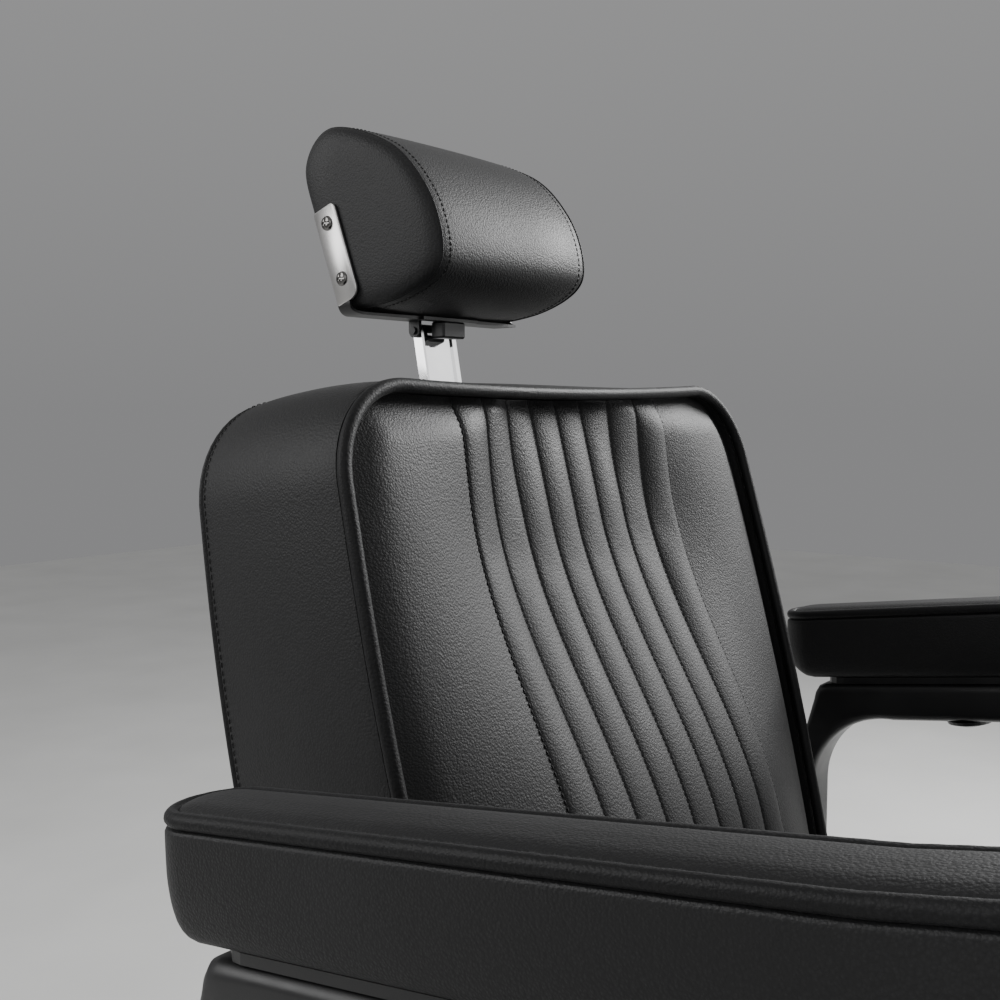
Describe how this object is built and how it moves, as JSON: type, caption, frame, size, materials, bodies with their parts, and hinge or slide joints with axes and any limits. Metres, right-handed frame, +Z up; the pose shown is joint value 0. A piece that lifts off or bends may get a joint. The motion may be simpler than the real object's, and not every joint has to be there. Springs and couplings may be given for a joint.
{
  "type": "barber chair",
  "caption": "Pumped, swivelling barber chair with a reclining channel-stitched back, piped arm pads, sliding tilting headrest and folding footplate.",
  "frame": {"origin": "on the floor under the swivel column, in the middle of the base plate's underside", "axes": "+Z up, -Y the way the sitter faces, +X the sitter's left"},
  "size_m": [0.7762, 1.0709, 1.0802],
  "materials": {
    "leather": "semi-sheen pebble grain, black",
    "chrome": "mirror chrome",
    "satin_steel": "satin",
    "black_steel": "black powder coat",
    "black_alloy": "black powder coat on cast aluminium",
    "plywood": "raw",
    "black_wood": "black lacquer",
    "rubber": "matte",
    "plastic": "satin black",
    "zinc_steel": "zinc plated",
    "bronze": "sintered"
  },
  "bodies": {
    "base": {"base_plate": "black_steel", "base_rim": "rubber", "base_cover": "chrome", "pump_body": "black_steel", "pump_collar": "chrome", "pedal_bracket": "black_steel", "pedal_pin": "zinc_steel"},
    "pedal": {"pump_pedal": "black_steel", "pedal_pad": "rubber"},
    "ram": {"ram": "chrome"},
    "seat": {"swivel_hub": "black_steel", "seat_plate": "black_steel", "seat_frame": "black_steel", "seat_board": "plywood", "seat_cushion": "leather", "seat_welt": "leather", "arm_frame_left": "black_alloy", "arm_frame_right": "black_alloy", "arm_board_left": "black_wood", "arm_board_right": "black_wood", "arm_pad_left": "leather", "arm_pad_right": "leather", "arm_welt_left": "leather", "arm_welt_right": "leather", "arm_cap_left": "plastic", "arm_cap_right": "plastic", "hinge_bracket_left": "black_steel", "hinge_bracket_right": "black_steel", "hinge_pin_left": "zinc_steel", "hinge_pin_right": "zinc_steel", "lock_cylinder": "black_steel", "lock_clevis": "black_steel", "lock_pin": "zinc_steel", "footrest_tube": "chrome", "footrest_clamp_left": "black_steel", "footrest_clamp_right": "black_steel"},
    "lever": {"recline_lever": "chrome", "lever_knob": "plastic"},
    "footplate": {"footplate": "satin_steel", "footplate_mat": "rubber"},
    "back": {"back_frame": "black_steel", "back_board": "plywood", "back_cushion": "leather", "back_boxing": "leather", "back_rear_panel": "leather", "back_welt": "leather", "post_receiver": "zinc_steel", "hinge_bush_left": "bronze", "hinge_bush_right": "bronze"},
    "lock_rod": {"lock_rod": "chrome"},
    "headrest_post": {"headrest_post": "chrome"},
    "headrest": {"headrest_bracket": "satin_steel", "headrest_pad": "leather", "tilt_cover": "plastic", "tilt_pin": "zinc_steel", "ear_screw_lower_left": "satin_steel", "ear_screw_lower_right": "satin_steel", "ear_screw_upper_left": "satin_steel", "ear_screw_upper_right": "satin_steel"}
  },
  "joints": [
    {"name": "pedal_pump", "type": "hinge", "parent": "base", "child": "pedal", "pos_m": [0, 0.078, 0.155], "axis": [-1, 0, 0], "range_deg": [0, 18], "stiffness_Nm_per_rad": 8, "springref_deg": -20.05},
    {"name": "seat_lift", "type": "slide", "parent": "base", "child": "ram", "axis": [0, 0, 1], "range_m": [0, 0.15]},
    {"name": "seat_swivel", "type": "hinge", "parent": "ram", "child": "seat", "pos_m": [0, 0, 0.3056], "axis": [0, 0, 1], "continuous": true},
    {"name": "recline_lever_pull", "type": "hinge", "parent": "seat", "child": "lever", "pos_m": [-0.215, -0.222, 0.3415], "axis": [-1, 0, 0], "range_deg": [0, 20], "stiffness_Nm_per_rad": 2, "springref_deg": -20.05},
    {"name": "footplate_fold", "type": "hinge", "parent": "seat", "child": "footplate", "pos_m": [0, -0.505, 0.17], "axis": [-1, 0, 0], "range_deg": [0, 40]},
    {"name": "back_recline", "type": "hinge", "parent": "seat", "child": "back", "pos_m": [0, 0.235, 0.395], "axis": [-1, 0, 0], "range_deg": [0, 50]},
    {"name": "lock_rod_slide", "type": "slide", "parent": "seat", "child": "lock_rod", "axis": [0, -1, 0], "range_m": [0, 0.07657]},
    {"name": "headrest_height", "type": "slide", "parent": "back", "child": "headrest_post", "axis": [0, 0.1771, 0.9842], "range_m": [-0.03, 0.06]},
    {"name": "headrest_tilt", "type": "hinge", "parent": "headrest_post", "child": "headrest", "pos_m": [0, 0.3692, 0.93], "axis": [-1, 0, 0], "range_deg": [-15, 30]}
  ],
  "couplings": [
    {"joint": "lock_rod_slide", "follows": "back_recline", "m_per_rad": 0.087171}
  ]
}
